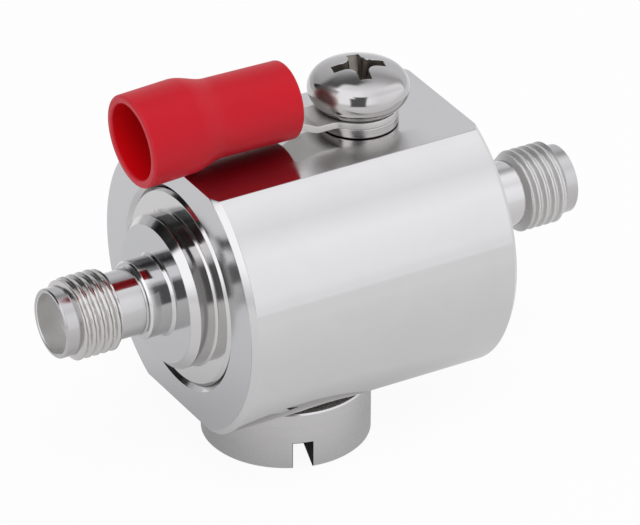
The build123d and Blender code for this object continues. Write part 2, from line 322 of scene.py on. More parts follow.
def smooth_by_angle(piece):
    """Smooth shading, with a crease wherever two faces meet at more than the crease angle."""
    piece.data.shade_smooth()
    piece.data.set_sharp_from_angle(angle=CREASE_ANGLE)


def joined_by(piece, other, operation):
    """The piece after a boolean with the other mesh, which is then removed."""
    step = piece.modifiers.new("cut", "BOOLEAN")
    step.operation = operation
    step.object = other
    step.solver = "EXACT"
    graph = bpy.context.evaluated_depsgraph_get()
    mesh = bpy.data.meshes.new_from_object(piece.evaluated_get(graph), depsgraph=graph)
    piece.modifiers.clear()
    piece.data = mesh
    bpy.data.objects.remove(other)
    smooth_by_angle(piece)


def round_angles(steps=ROUND_STEPS):
    """Evenly spaced angles of a full turn, without the closing one."""
    return np.arange(steps) * 2 * np.pi / steps


def turned_x(x, radius, angles, sign=1):
    """Grid turned about the coaxial line, and turned round to the left end where the sign is -1."""
    return point_grid(x * sign, radius * np.cos(angles) * sign, LINE_HEIGHT + radius * np.sin(angles))


def turned_z(radius, z, angles, axis_x):
    """Grid turned about a vertical axis."""
    return point_grid(axis_x + radius * np.cos(angles), radius * np.sin(angles), z)


def thread_land(low, high, pitch, lead=0.0):
    """Stations along a threaded land, a fixed number to each pitch, after a plain lead."""
    count = int((high - low) / pitch * STATIONS_PER_PITCH)
    return np.linspace(low + lead, high, count + 2)[1:-1, None]


def threaded(land, angles, crest, depth, pitch, envelope, start=0.0):
    """Radius of a threaded land: crest less the depth of a rounded V wave, under the turned envelope.

    The wave is 0 on a crest and 1 in a root, and its flanks follow the smooth step.
    """
    turns = land / pitch - angles / (2 * np.pi) + start
    flank = np.clip((np.abs(turns % 1.0 * 2 - 1) - ROOT_SHARE) / (1 - ROOT_SHARE - CREST_SHARE), 0, 1)
    return soft_least(crest - depth * (1 - smooth_step(flank)), envelope, THREAD_BLEND)


def bar_angles(radius):
    """Angles of one bar station, close together where the round meets a flat.

    The round meets the flat at asin(flat height / radius). The samples of a quarter turn run from
    the side to that corner and on to the middle of the flat, and the quarter is mirrored twice.
    """
    corner = np.arcsin(np.minimum(FLAT_HEIGHT / radius, FLAT_HEIGHT / (BAR_RADIUS - BAR_CHAMFER)))
    near = np.radians([1.4, 0.8, 0.45, 0.2])
    side = np.linspace(0, 1, 44)[:-1] * (corner - 2 * near[0])
    after = corner + np.concatenate([[0], near[::-1]])
    top = np.linspace(0, 1, 14)[1:] * (np.pi / 2 - corner - near[0]) + corner + near[0]
    quarter = np.concatenate([side, corner - near, after, top], axis=1)
    half = np.concatenate([quarter, np.pi - quarter[:, -2::-1]], axis=1)
    return np.concatenate([half, np.pi + half[:, 1:-1]], axis=1)


def bar_housing():
    """Turned bar with two milled flats.

    The outline is turned about the line, with the radius held under flat height / |sin(angle)|,
    which is the flat's plane. Near each end the flat drops along a small quarter round. The cap's
    stepped hole and the screw's hole are cut out of it.
    """
    chamfered = BAR_RADIUS - BAR_CHAMFER
    half = [(SPIGOT_END, LINE_BORE_RADIUS, 0), (SPIGOT_END, SPIGOT_SEAT_RADIUS, 0),
            (FLANGE_BACK, SPIGOT_SEAT_RADIUS, 0), (FLANGE_BACK, COUNTERBORE_RADIUS, 0),
            (BAR_END - COUNTERBORE_CHAMFER, COUNTERBORE_RADIUS, 0.02),
            (BAR_END, COUNTERBORE_RADIUS + COUNTERBORE_CHAMFER, 0.02), (BAR_END, chamfered, BAR_EDGE / 2)]
    half += [(BAR_END - drop, chamfered + drop, 0) for drop in (0.012, 0.03, 0.055, FLAT_EDGE)]
    half += [(BAR_END - BAR_CHAMFER, BAR_RADIUS, BAR_EDGE)]
    x, radius = np.hsplit(rounded(half + [(-x, r, edge) for x, r, edge in half[::-1]]), 2)
    angles = bar_angles(radius)
    past = np.clip(np.abs(x) - (BAR_END - FLAT_EDGE), 0, FLAT_EDGE)
    flat = FLAT_HEIGHT - FLAT_EDGE + np.sqrt(FLAT_EDGE ** 2 - past ** 2)
    held = soft_least(radius, flat / np.maximum(np.abs(np.sin(angles)), 1e-3), FLAT_BLEND)
    piece = mesh_piece("bar_housing", turned_x(x, held, angles), wrap_rows=True)
    below = FLAT_BOTTOM - 1
    above = FLAT_TOP + 1
    cap_hole = [(0, below), (SEAL_SEAT_RADIUS, below), (SEAL_SEAT_RADIUS, CAP_GROOVE_TOP),
                (CAP_HOLE_RADIUS, CAP_GROOVE_TOP), (CAP_HOLE_RADIUS, CAP_HOLE_TOP),
                (CHAMBER_RADIUS, CAP_HOLE_TOP), (CHAMBER_RADIUS, LINE_HEIGHT), (0, LINE_HEIGHT)]
    screw_hole = [(0, SCREW_HOLE_FLOOR), (SCREW_HOLE_RADIUS, SCREW_HOLE_FLOOR),
                  (SCREW_HOLE_RADIUS, above), (0, above)]
    for hole, place in ((cap_hole, CAP_X), (screw_hole, SCREW_X)):
        radius, z = np.hsplit(np.array(hole, float), 2)
        joined_by(piece, mesh_piece("hole", turned_z(radius, z, round_angles(), place)), "DIFFERENCE")
    return piece


def connector(name, sign):
    """Turned screw connector: flange, chamfered boss, collar, neck, thread, pilot and socket.

    The coves where a cylinder meets a face are cones of the cove's size. The threaded land is a
    dense row of stations whose radius follows the thread's wave.
    """
    before = rounded([
        (HEEL_END, BEAD_BORE_RADIUS, 0), (HEEL_END, HEEL_BORE_RADIUS, 0), (SPIGOT_END, HEEL_BORE_RADIUS, 0),
        (SPIGOT_END, SPIGOT_RADIUS, 0), (FLANGE_BACK, SPIGOT_RADIUS, 0), (FLANGE_BACK, FLANGE_RADIUS, SOFT),
        (FLANGE_FACE - FLANGE_CHAMFER, FLANGE_RADIUS, EVEN),
        (FLANGE_FACE, FLANGE_RADIUS - FLANGE_CHAMFER, EVEN),
        (FLANGE_FACE, BOSS_RADIUS + BOSS_FOOT, FINE), (FLANGE_FACE + BOSS_FOOT, BOSS_RADIUS, FINE),
        (BOSS_FACE - BOSS_CHAMFER, BOSS_RADIUS, EVEN), (BOSS_FACE, BOSS_RADIUS - BOSS_CHAMFER, EVEN),
        (BOSS_FACE, COLLAR_RADIUS + COVE, SOFT), (BOSS_FACE + COVE, COLLAR_RADIUS, SOFT),
        (COLLAR_END - COLLAR_CHAMFER, COLLAR_RADIUS, FINE),
        (COLLAR_END, COLLAR_RADIUS - COLLAR_CHAMFER, FINE), (COLLAR_END, NECK_RADIUS + NECK_COVE, FINE),
        (COLLAR_END + NECK_COVE, NECK_RADIUS, FINE), (NECK_END, NECK_RADIUS, 0)], closed=False)
    after = rounded([
        (THREAD_END, PILOT_RADIUS, 0), (MOUTH - PILOT_CHAMFER, PILOT_RADIUS, SOFT),
        (MOUTH, PILOT_RADIUS - PILOT_CHAMFER, FINE), (MOUTH, SOCKET_RADIUS + SOCKET_CHAMFER, FINE),
        (MOUTH - SOCKET_CHAMFER, SOCKET_RADIUS, FINE), (REFERENCE_PLANE, SOCKET_RADIUS, 0),
        (REFERENCE_PLANE, BEAD_BORE_RADIUS, 0), (HEEL_END + 0.01, BEAD_BORE_RADIUS, 0)], closed=False)
    angles = round_angles()
    land = thread_land(NECK_END, THREAD_END, THREAD_PITCH)
    envelope = np.minimum(NECK_RADIUS + (land - NECK_END) * THREAD_RISE,
                          PILOT_RADIUS + (THREAD_END - land) * THREAD_FALL)
    screwed = threaded(land, angles, THREAD_RADIUS, THREAD_DEPTH, THREAD_PITCH, envelope, THREAD_START)
    x, radius = stacked([before, (land, screwed), after], angles)
    return mesh_piece(name, turned_x(x, radius, angles, sign), wrap_rows=True)


def tube_cap():
    """Slotted cap: broad satin head, relief for the seal, threaded neck and the tube's cup."""
    before = rounded([
        (0, 0, 0), (CAP_RADIUS - CAP_EDGE, 0, SOFT), (CAP_RADIUS, CAP_EDGE, SOFT),
        (CAP_RADIUS, FLAT_BOTTOM - CAP_EDGE, 0.02), (CAP_RADIUS - CAP_RIM_INSET, FLAT_BOTTOM, 0.01),
        (CAP_GROOVE_RADIUS, FLAT_BOTTOM, 0), (CAP_GROOVE_RADIUS, CAP_GROOVE_TOP, 0)], closed=False)
    neck_edge = CAP_THREAD_RADIUS - CAP_NECK_CHAMFER
    after = np.array([
        (neck_edge, CAP_NECK_TOP), (CUP_RADIUS + CUP_CHAMFER, CAP_NECK_TOP),
        (CUP_RADIUS, CAP_NECK_TOP - CUP_CHAMFER), (CUP_RADIUS, CUP_FLOOR), (0, CUP_FLOOR)])
    angles = round_angles()
    land = thread_land(CAP_GROOVE_TOP, CAP_NECK_TOP, CAP_THREAD_PITCH)
    envelope = np.minimum(CAP_GROOVE_RADIUS + (land - CAP_GROOVE_TOP) * CAP_THREAD_RISE,
                          neck_edge + CAP_NECK_TOP - land)
    screwed = threaded(land, angles, CAP_THREAD_RADIUS, CAP_THREAD_DEPTH, CAP_THREAD_PITCH, envelope)
    radius, z = stacked([before, (screwed, land), after], angles)
    piece = mesh_piece("tube_cap", turned_z(radius, z, angles, CAP_X))
    joined_by(piece, slot_cutter(), "DIFFERENCE")
    return piece


def slot_cutter():
    """Bar that mills the cap's slot: a rectangle along the slot, closed at both ends, turned to it."""
    reach = CAP_RADIUS + 1
    half = CAP_SLOT_WIDTH / 2
    across, level = np.array([(-half, -1), (half, -1), (half, CAP_SLOT_DEPTH), (-half, CAP_SLOT_DEPTH)]).T
    ends = np.array([0, 1, 1, 0])[:, None]
    side = np.array([-reach, -reach, reach, reach])[:, None]
    across = across * ends
    x = CAP_X + side * math.cos(CAP_SLOT_TURN) - across * math.sin(CAP_SLOT_TURN)
    y = side * math.sin(CAP_SLOT_TURN) + across * math.cos(CAP_SLOT_TURN)
    return mesh_piece("slot", point_grid(x, y, (level - 0.5) * ends + 0.5))


def cross_outline(angles, arm, half_width, web):
    """Distance from the middle to the edge of a cross recess with rounded webs.

    By the angle from the nearest arm's middle it is arm / cos out to the arm's corner, then half
    width / sin along the arm's side, and then the near side of the web's circle, whose centre is
    at (half width + web) in both directions.
    """
    fold = np.abs((angles + np.pi / 4) % (np.pi / 2) - np.pi / 4)
    straight = np.minimum(arm / np.cos(fold), half_width / np.maximum(np.sin(fold), 1e-6))
    reach = (half_width + web) * math.sqrt(2)
    off = fold - np.pi / 4
    circle = reach * np.cos(off) - np.sqrt(np.maximum(web ** 2 - (reach * np.sin(off)) ** 2, 0))
    return np.where(fold > math.atan2(half_width, half_width + web), circle, straight)


def recess_angles():
    """Angles of the screw's columns, close together at the corners of the cross."""
    arm, half_width, web = RECESS_MOUTH
    corner = math.atan2(half_width, arm)
    web = math.atan2(half_width, half_width + web)
    octant = np.concatenate([
        np.linspace(0, corner, 6), [corner + 0.012], np.linspace(corner + 0.03, web, 5),
        np.linspace(web, np.pi / 4, 12)[1:]])
    quarter = np.concatenate([octant, np.pi / 2 - octant[-2:0:-1]])
    return np.concatenate([quarter + k * np.pi / 2 for k in range(4)])


def dome_level(radius):
    """Height of the screw head's dome at a distance from its axis."""
    return HEAD_TOP - HEAD_DOME_RADIUS + np.sqrt(HEAD_DOME_RADIUS ** 2 - radius ** 2)


def pan_head_screw():
    """Ground screw: tip, thread, seat, undercut rim, round side, low dome and cross recess.

    Every ring is turned about the screw's axis, apart from the recess, whose rings are the cross
    outline shrinking from the dome to its foot. The side is widest where its two arcs meet: the
    lower one comes up from the rim, and the shoulder runs into the dome where the line through
    both centres meets it.
    """
    angles = recess_angles()
    tip = np.array([(0, SCREW_TIP), (SCREW_THREAD_RADIUS - SCREW_TIP_CHAMFER, SCREW_TIP),
                    (SCREW_THREAD_RADIUS - SCREW_LEAD_INSET, SCREW_TIP + SCREW_LEAD)])
    land = thread_land(SCREW_TIP, SCREW_SEAT, SCREW_THREAD_PITCH, SCREW_LEAD)
    envelope = SCREW_THREAD_RADIUS - SCREW_ROOT_INSET + (land - SCREW_TIP) * SCREW_THREAD_RISE
    envelope = np.minimum(envelope, SCREW_THREAD_RADIUS)
    screwed = threaded(land, angles, SCREW_THREAD_RADIUS, SCREW_THREAD_DEPTH, SCREW_THREAD_PITCH, envelope)
    plain = SCREW_THREAD_RADIUS - SCREW_SHANK_INSET
    screwed = plain + (screwed - plain) * np.clip((SCREW_SEAT - SCREW_SHANK - land) / SCREW_RUNOUT, 0, 1)
    seat = rounded([(SCREW_THREAD_RADIUS, SCREW_SEAT, 0), (HEAD_SEAT_RADIUS, SCREW_SEAT, SOFT),
                    (HEAD_RIM_RADIUS, SCREW_SEAT + HEAD_RIM_HEIGHT, 0)], closed=False)
    inset = HEAD_RADIUS - HEAD_RIM_RADIUS
    drop = HEAD_SIDE_HEIGHT - HEAD_RIM_HEIGHT
    bend = (inset ** 2 + drop ** 2) / (2 * inset)
    widest = SCREW_SEAT + HEAD_SIDE_HEIGHT
    sweep = np.linspace(-math.asin(drop / bend), 0, 9)[1:, None]
    side = HEAD_RADIUS - bend + bend * np.cos(sweep), widest + bend * np.sin(sweep)
    sweep = np.linspace(0, math.asin(HEAD_DOME_RISE / HEAD_DOME_REACH), 21)[1:, None]
    shoulder = (HEAD_RADIUS - HEAD_SHOULDER_RADIUS * (1 - np.cos(sweep)),
                widest + HEAD_SHOULDER_RADIUS * np.sin(sweep))
    crown = shoulder[0][-1]
    edge = cross_outline(angles, *RECESS_MOUTH)
    foot = cross_outline(angles, *RECESS_FOOT)
    dome = crown + (edge + RECESS_LIP - crown) * np.linspace(0, 1, 14)[1:, None]
    lip = np.radians([20, 45, 70, 90])[:, None]
    brim = edge + RECESS_LIP - RECESS_LIP * np.sin(lip)
    brim_z = dome_level(edge + RECESS_LIP) - RECESS_LIP * (1 - np.cos(lip))
    floor = HEAD_TOP - RECESS_DEPTH
    down = np.linspace(0, 1, 9)[1:, None]
    wall = edge + (foot - edge) * down, brim_z[-1] + (floor - brim_z[-1]) * down
    inner = np.array([0.66, 0.33, 0.0])[:, None]
    cone = foot * inner, floor - RECESS_CONE * (1 - inner)
    radius, z = stacked([tip, (screwed, land), seat, side, shoulder, (dome, dome_level(dome)),
                         (brim, brim_z), wall, cone], angles)
    return mesh_piece("pan_head_screw", turned_z(radius, z, angles + RECESS_TURN, SCREW_X))


def split_washer():
    """Split spring washer: a rounded section carried from one side of the slanted split to the other.

    At a point of the section the ring starts and ends where x = slant * z -+ half the split, which
    is the angle acos(x / radius). Both ends close in the middle of the section.
    """
    section = rounded([
        (WASHER_HOLE_RADIUS, FLAT_TOP, WASHER_EDGE), (WASHER_RADIUS, FLAT_TOP, WASHER_FOOT_EDGE),
        (WASHER_RADIUS, WASHER_TOP, WASHER_EDGE), (WASHER_HOLE_RADIUS, WASHER_TOP, WASHER_EDGE)])
    middle = np.array([WASHER_HOLE_RADIUS + WASHER_RADIUS, FLAT_TOP + WASHER_TOP]) / 2
    closing = 0 * section + middle
    radius, z = np.stack([closing, section, section, closing], axis=-1).transpose(1, 2, 0)
    half = WASHER_SPLIT / 2 / math.cos(WASHER_SLANT) * np.array([-1, -1, 1, 1])[:, None]
    turn = np.arccos(np.clip((math.tan(WASHER_SLANT) * (z - middle[1]) + half) / radius, -1, 1))
    turn += np.array([0, 0, 2 * np.pi, 2 * np.pi])[:, None]
    carried = np.linspace(0, 1, 121)[:, None]
    turn, radius, z = [np.concatenate([rows[:1], rows[1] + (rows[2] - rows[1]) * carried, rows[3:]])
                       for rows in (turn, radius, z)]
    return mesh_piece("split_washer", turned_z(radius, z, turn, SCREW_X))


def bent(distance, height):
    """Place of a point of the lug's strip: distance along the flat strip, height over its middle.

    The strip is straight up to the bend, then turns on an arc of the bend's middle radius, and
    then goes straight on at the tongue's rise. Returns how far out it is, and how high.
    """
    radius = TONGUE_BEND_RADIUS
    turn = np.clip((distance - TONGUE_BEND_START) / radius, 0, TONGUE_RISE)
    after = np.maximum(distance - TONGUE_BEND_START - radius * TONGUE_RISE, 0)
    out = np.minimum(distance, TONGUE_BEND_START) + (radius - height) * np.sin(turn)
    up = radius * (1 - np.cos(turn)) + height * np.cos(turn)
    return out + after * math.cos(TONGUE_RISE), up + after * math.sin(TONGUE_RISE)


def ring_lug():
    """Ring terminal: flat ring with a tongue that bends up, joined to the crimp barrel.

    From the middle of the hole the sheet's outline is the larger of the ring's radius and the
    tongue's straight sides, half width / |sin(angle)|, blended smoothly. The section's edges are
    small quarter rounds, and the whole sheet is then bent along the strip.
    """
    angles = round_angles(256)
    ahead = np.cos(angles) > 0
    side = TONGUE_HALF_WIDTH / np.maximum(np.abs(np.sin(angles)), 1e-3)
    straight = (TONGUE_REACH - TONGUE_KINK) / math.cos(TONGUE_RISE) + TONGUE_KINK
    bend_loss = TONGUE_BEND_RADIUS * (2 * math.tan(TONGUE_RISE / 2) - TONGUE_RISE)
    end = (straight - bend_loss) / np.maximum(np.cos(angles), 1e-3)
    tongue = soft_least(side, np.minimum(end, TONGUE_FAR), TONGUE_BLEND)
    outline = np.where(ahead, -soft_least(-tongue, -LUG_RADIUS, LUG_BLEND), LUG_RADIUS)
    round_off = np.radians([0, 22, 45, 68, 90])
    across = np.linspace(0, 1, 40)
    upper = LUG_THICKNESS / 2
    share = np.concatenate([np.zeros(5), across, np.ones(5)])
    level = np.concatenate([upper - LUG_EDGE + LUG_EDGE * np.sin(round_off), 0 * across + upper,
                            upper - LUG_EDGE + LUG_EDGE * np.cos(round_off)])
    inset = np.concatenate([LUG_EDGE * (1 - np.cos(round_off)), LUG_EDGE + across * -2 * LUG_EDGE,
                            -LUG_EDGE * (1 - np.sin(round_off))])
    share, inset = [np.concatenate([half, half[::-1]])[:, None] for half in (share, inset)]
    level = np.concatenate([level, -level[::-1]])[:, None]
    distance = WASHER_HOLE_RADIUS + (outline - WASHER_HOLE_RADIUS) * share + inset
    out, up = bent(distance * np.cos(angles), level)
    piece = mesh_piece("ring_lug", point_grid(SCREW_X - out, distance * np.sin(angles),
                                              WASHER_TOP + upper + up), wrap_rows=True)
    outline = rounded([
        (BARREL_START, 0, 0), (BARREL_START, BARREL_RADIUS, BARREL_REAR_EDGE),
        (BARREL_END, BARREL_RADIUS, BARREL_EDGE), (BARREL_END, BARREL_BORE, BARREL_EDGE),
        (BARREL_FLOOR, BARREL_BORE, 0), (BARREL_FLOOR, 0, 0)], closed=False)
    barrel = mesh_piece("barrel", along_sleeve(*np.hsplit(outline, 2), round_angles(96)))
    joined_by(piece, barrel, "UNION")
    return piece


def along_sleeve(distance, radius, angles):
    """Grid about the sleeve's axis, by the distance from its rear end towards the mouth.

    The axis is straight up to the bend, droops there on an arc of 2 * half length / droop, and
    runs straight again to the mouth. The whole is then tilted about the rear end.
    """
    bend = 2 * SLEEVE_BEND_HALF / SLEEVE_DROOP
    start = SLEEVE_BEND - SLEEVE_BEND_HALF
    turn = np.clip((distance - start) / bend, 0, SLEEVE_DROOP)
    after = np.maximum(distance - start - 2 * SLEEVE_BEND_HALF, 0)
    lift = radius * np.sin(angles)
    out = np.minimum(distance, start) + after * math.cos(SLEEVE_DROOP) + (bend + lift) * np.sin(turn)
    up = lift * np.cos(turn) - bend * (1 - np.cos(turn)) - after * math.sin(SLEEVE_DROOP)
    x = SLEEVE_REAR_X - out * math.cos(SLEEVE_TILT) + up * math.sin(SLEEVE_TILT)
    z = SLEEVE_AXIS_LEVEL + out * math.sin(SLEEVE_TILT) + up * math.cos(SLEEVE_TILT)
    return point_grid(x, radius * np.cos(angles), z)


def red_sleeve():
    """Soft vinyl sleeve: rounded rear end, grip, smooth step up to the bell, lip and funnel.

    The moulding is a little uneven, with the radius less by a few hundredths in slow waves along
    and round it.
    """
    share = np.linspace(0, 1, 18)
    taper_start, taper_end = SLEEVE_TAPER
    taper = np.stack([taper_start + (taper_end - taper_start) * share,
                      SLEEVE_REAR_RADIUS + (SLEEVE_BELL_RADIUS - SLEEVE_REAR_RADIUS) * smooth_step(share)],
                     axis=1)
    grip = rounded([(0, SLEEVE_GRIP_RADIUS, 0), (0, SLEEVE_REAR_RADIUS, SLEEVE_REAR_EDGE),
                    (taper_start, SLEEVE_REAR_RADIUS, 0)], steps=9, closed=False)[:-1]
    bell = rounded([
        (taper_end, SLEEVE_BELL_RADIUS, 0), (SLEEVE_LENGTH, SLEEVE_BELL_RADIUS, SLEEVE_LIP),
        (SLEEVE_LENGTH, SLEEVE_MOUTH_RADIUS, SLEEVE_MOUTH_EDGE),
        (SLEEVE_MOUTH_FLOOR, SLEEVE_MOUTH_RADIUS, SLEEVE_INNER_EDGE),
        (SLEEVE_MOUTH_FLOOR - SLEEVE_FUNNEL, SLEEVE_GRIP_RADIUS, SLEEVE_INNER_EDGE),
        (0.01, SLEEVE_GRIP_RADIUS, 0)], steps=8, closed=False)[1:]
    distance, radius = np.hsplit(np.concatenate([grip, taper, bell]), 2)
    angles = round_angles(160)
    wave = np.sin(2 * angles + 0.5 * distance) + np.sin(3 * angles - 0.8 * distance + 1.0)
    uneven = radius * (1 - SLEEVE_UNEVEN * (2 + wave))
    return mesh_piece("red_sleeve", along_sleeve(distance, uneven, angles), wrap_rows=True)


class Nodes:
    """Shader tree with short ways to add to it; a source is a socket or a plain value."""

    def __init__(self, tree):
        self.tree = tree

    def feed(self, node, name, source):
        """Link a socket to a node's input, or set the input to a plain value."""
        if isinstance(source, bpy.types.NodeSocket):
            self.tree.links.new(source, node.inputs[name])
        else:
            node.inputs[name].default_value = source

    def add(self, kind, sources=(), **settings):
        """Node with its settings, and its sources as (input's name or number, source)."""
        node = self.tree.nodes.new("ShaderNode" + kind)
        for key, value in settings.items():
            setattr(node, key, value)
        for name, source in sources:
            self.feed(node, name, source)
        return node

    def math(self, operation, *values, clamp=False):
        """Number worked out from others."""
        return self.add("Math", enumerate(values), operation=operation, use_clamp=clamp).outputs[0]

    def times(self, first, *others):
        """Product of numbers or masks."""
        for value in others:
            first = self.math("MULTIPLY", first, value)
        return first

    def blend(self, share, first, second):
        """Number between two others: first + share * (second - first)."""
        return self.math("MULTIPLY_ADD", share, self.math("SUBTRACT", second, first), first)

    def mapped(self, value, low, high, to_low=0.0, to_high=1.0, curve="SMOOTHSTEP"):
        """Value carried from one range to another, held at both ends."""
        return self.add("MapRange", [
            ("Value", value), ("From Min", low), ("From Max", high), ("To Min", to_low),
            ("To Max", to_high)], interpolation_type=curve).outputs["Result"]

    def between(self, value, low, high, soft=0.02):
        """Mask that is 1 where a distance lies between two millimetre values, with soft ends."""
        return self.times(self.mapped(value, (low - soft) * MM, low * MM),
                          self.mapped(value, high * MM, (high + soft) * MM, 1.0, 0.0))

    def vector(self, operation, *values):
        """Vector worked out from others, or their length or product as a number."""
        node = self.add("VectorMath", enumerate(values), operation=operation)
        return node.outputs["Value" if operation in ("LENGTH", "DOT_PRODUCT") else "Vector"]

    def scaled(self, vector, factor):
        """Vector or colour times one number."""
        return self.add("VectorMath", [(0, vector), ("Scale", factor)], operation="SCALE").outputs[0]

    def noise(self, vector, scale, detail=2.0, roughness=0.5, distortion=0.0):
        """Value of a noise."""
        return self.add("TexNoise", [
            ("Vector", vector), ("Scale", scale), ("Detail", detail), ("Roughness", roughness),
            ("Distortion", distortion)]).outputs["Fac"]

    def tinted(self, share, first, second):
        """Colour between two colours or sockets."""
        first, second = [colour if isinstance(colour, bpy.types.NodeSocket) else (*colour, 1)
                         for colour in (first, second)]
        return self.add("Mix", [("Factor", share), ("A", first), ("B", second)],
                        data_type="RGBA").outputs["Result"]

    def tone_ramp(self, position, stops, scale):
        """Grey tone along a ramp whose stops may be brighter than white."""
        ramp = self.add("ValToRGB", [(0, position)])
        elements = ramp.color_ramp.elements
        while len(elements) < len(stops):
            elements.new(0.5)
        for element, (place, value) in zip(elements, stops):
            element.position = place
            element.color = (value / scale,) * 3 + (1,)
        return self.times(ramp.outputs[0], scale)

    def shone(self, kind, colour, strength=1.0):
        """Emission or Background shader."""
        return self.add(kind, [("Color", colour), ("Strength", strength)]).outputs[0]

    def either(self, share, first, second):
        """Shader between two others."""
        return self.add("MixShader", [(0, share), (1, first), (2, second)]).outputs[0]

    def by_ray(self, plain, mirrored, seen):
        """One shader for rays from the metal's mirroring, one for the camera's and one for the rest."""
        path = self.add("LightPath").outputs
        return self.either(path["Is Camera Ray"], self.either(path["Is Glossy Ray"], plain, mirrored), seen)


def node_group(name, inputs, build):
    """Shader node group; build adds its nodes to the inputs and returns its results by name."""
    tree = bpy.data.node_groups.new(name, "ShaderNodeTree")
    for label, default in inputs.items():
        kind = "NodeSocketVector" if isinstance(default, tuple) else "NodeSocketFloat"
        tree.interface.new_socket(label, in_out="INPUT", socket_type=kind).default_value = default
    nodes = Nodes(tree)
    given = tree.nodes.new("NodeGroupInput")
    results = build(nodes, *[given.outputs[label] for label in inputs])
    for label in results:
        tree.interface.new_socket(label, in_out="OUTPUT", socket_type="NodeSocketFloat")
    end = tree.nodes.new("NodeGroupOutput")
    for label, source in results.items():
        nodes.feed(end, label, source)
    return tree


def turned_rings(nodes, position, centre, axis, spacing):
    """Rings left by turning: noise that depends on the place along and out from the axis only.

    The two distances are put out as well, for masks of single faces.
    """
    place = nodes.vector("SUBTRACT", position, centre)
    along = nodes.vector("DOT_PRODUCT", place, axis)
    out = nodes.vector("LENGTH", nodes.vector("SUBTRACT", place, nodes.scaled(axis, along)))
    ring = nodes.add("CombineXYZ", [(0, along), (1, out)]).outputs[0]
    fine = nodes.math("DIVIDE", 1.0, spacing)
    return {"Height": nodes.noise(nodes.scaled(ring, fine), 1.0, 3.0, 0.6),
            "Streak": nodes.noise(nodes.scaled(ring, nodes.times(fine, 0.13)), 1.0),
            "Along": along, "Out": out}


def smears_and_specks(nodes, position, size):
    """Faint smears and specks left by handling, as masks from 0 to 1."""
    near = nodes.scaled(position, nodes.math("DIVIDE", 1.0, size))
    return {"Smear": nodes.mapped(nodes.noise(near, 1.0, 5.0, 0.55, 0.6), 0.42, 0.68),
            "Speck": nodes.mapped(nodes.noise(near, 14.0, 3.0, 0.7), 0.55, 0.75)}


ORIGIN = (0, 0, 0)
TURNING_MARKS = node_group("turning_marks", {
    "Position": ORIGIN, "Centre": ORIGIN, "Axis": (1, 0, 0), "Spacing": 0.0001}, turned_rings)
HANDLING = node_group("handling", {"Position": ORIGIN, "Size": 0.003}, smears_and_specks)


class Finish(Nodes):
    """Material of one finish, with its Principled shader and the object's coordinates."""

    def __init__(self, name, colour, metallic, roughness):
        self.material = bpy.data.materials.new(name)
        self.material.use_nodes = True
        super().__init__(self.material.node_tree)
        self.shader = self.tree.nodes["Principled BSDF"]
        self.set("Base Color", (*colour, 1))
        self.set("Metallic", metallic)
        self.set("Roughness", roughness)
        self.place = self.add("TexCoord").outputs["Object"]

    def set(self, name, source):
        """Feed one input of the Principled shader."""
        self.feed(self.shader, name, source)

    def now(self, name):
        """Socket that feeds an input of the Principled shader now."""
        return self.shader.inputs[name].links[0].from_socket

    def turned_about(self, centre, axis, spacing):
        """Turning marks about an axis, with the distances along it and out from it."""
        marks = self.add("Group", node_tree=TURNING_MARKS)
        for name, source in (("Position", self.place), ("Centre", tuple(np.array(centre) * MM)),
                             ("Axis", axis), ("Spacing", spacing * MM)):
            self.feed(marks, name, source)
        self.along, self.out = marks.outputs["Along"], marks.outputs["Out"]
        return marks.outputs["Height"], marks.outputs["Streak"]

    def bumped(self, height, distance):
        """Relief of a height in millimetres."""
        bump = self.add("Bump", [("Height", height), ("Strength", 1.0), ("Distance", distance * MM)])
        self.set("Normal", bump.outputs["Normal"])

    def passed(self, bounces):
        """Mask that is 1 where the face is seen by way of that many others or more."""
        return self.math("GREATER_THAN", self.add("LightPath").outputs["Ray Depth"], bounces - 0.5)


def face_zone(low, high, inner=-1.0, outer=100.0):
    """Maker of a mask for one turned face: between two places along the axis and two radii."""
    return lambda finish: finish.times(finish.between(finish.along, low, high),
                                       finish.between(finish.out, inner, outer))


def slot_zone(finish):
    """Mask for the painted shade in the cap's slot: within half its width of its middle plane and within its
    depth.
    """
    aside = finish.vector("DOT_PRODUCT", finish.vector("SUBTRACT", finish.place, (CAP_X * MM, 0, 0)),
                          (-math.sin(CAP_SLOT_TURN), math.cos(CAP_SLOT_TURN), 0))
    return finish.times(finish.between(finish.math("ABSOLUTE", aside), -1, CAP_SLOT_WIDTH / 2 + MASK_MARGIN),
                        finish.between(finish.along, -1, CAP_SLOT_DEPTH + MASK_MARGIN))


def recess_zone(finish):
    """Mask for the painted shade on the walls of the screw's recess: within its arms and sunk under the
    dome.
    """
    under = finish.math("SUBTRACT", (HEAD_DOME_RADIUS * MM) ** 2, finish.times(finish.out, finish.out))
    dome = finish.math("ADD", finish.math("SQRT", under), (HEAD_TOP - HEAD_DOME_RADIUS) * MM)
    sunk = finish.between(finish.math("SUBTRACT", dome, finish.along), 0.09, RECESS_DEPTH + 1, 0.04)
    return finish.times(sunk, finish.between(finish.out, -1, RECESS_MOUTH[0] + 0.05))


def scuffed_zone(finish):
    """Mask for the scuffed spot on the screw's head, towards the sleeve."""
    aside = finish.vector("SUBTRACT", finish.place, tuple(np.array(SCUFF_MIDDLE) * MM))
    return finish.between(finish.vector("LENGTH", aside), -1, SCUFF_REACH, 0.5)


def worn_zone(finish):
    """Mask for the worn strip of the upper flat, along its front edge below the ground screw."""
    along, aside, level = finish.add("SeparateXYZ", [(0, finish.place)]).outputs
    return finish.times(finish.between(along, *WORN_ALONG, WORN_ENDS_SOFT),
                        finish.between(aside, *WORN_ACROSS, WORN_SIDES_SOFT),
                        finish.between(level, FLAT_TOP - 0.03, FLAT_TOP + 1))


